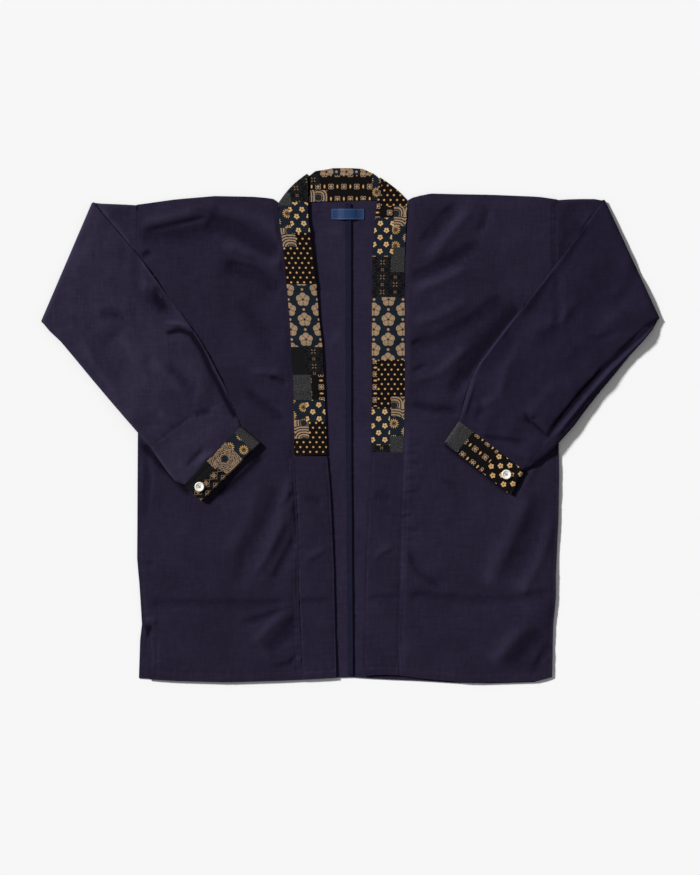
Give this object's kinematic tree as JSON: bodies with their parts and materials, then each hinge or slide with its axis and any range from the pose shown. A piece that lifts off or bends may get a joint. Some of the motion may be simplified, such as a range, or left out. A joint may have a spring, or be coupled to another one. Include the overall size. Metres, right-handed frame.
{
  "type": "noragi jacket",
  "caption": "Open-front noragi work jacket laid flat with its sleeves folded in over the fronts: navy twill with a patchwork collar and buttoned cuffs.",
  "frame": {"origin": "on the surface that the jacket lies on, under the middle of its outline", "axes": "+X across the jacket, to the right of someone who looks down at its open front; +Y up towards the collar; +Z off the surface"},
  "size_m": [0.957, 0.7982, 0.0152],
  "materials": {
    "navy_twill": "soft purplish navy cotton twill, matt",
    "patchwork": "dark printed patchwork cotton with gold and tan flowers, dots and arcs",
    "button_shell": "pale shell, polished",
    "woven_label": "plain blue woven label with a thin border, bare"
  },
  "bodies": {
    "root": {"back_left": "navy_twill", "back_right": "navy_twill", "centre_back_seam": "navy_twill", "front_left": "navy_twill", "front_right": "navy_twill", "band_left": "navy_twill", "band_right": "navy_twill", "sleeve_left": "navy_twill", "sleeve_right": "navy_twill", "cuff_left": "patchwork", "cuff_right": "patchwork", "collar_left": "patchwork", "collar_back": "patchwork", "collar_right": "patchwork", "button_left": "button_shell", "button_right": "button_shell", "label": "woven_label"}
  },
  "joints": []
}
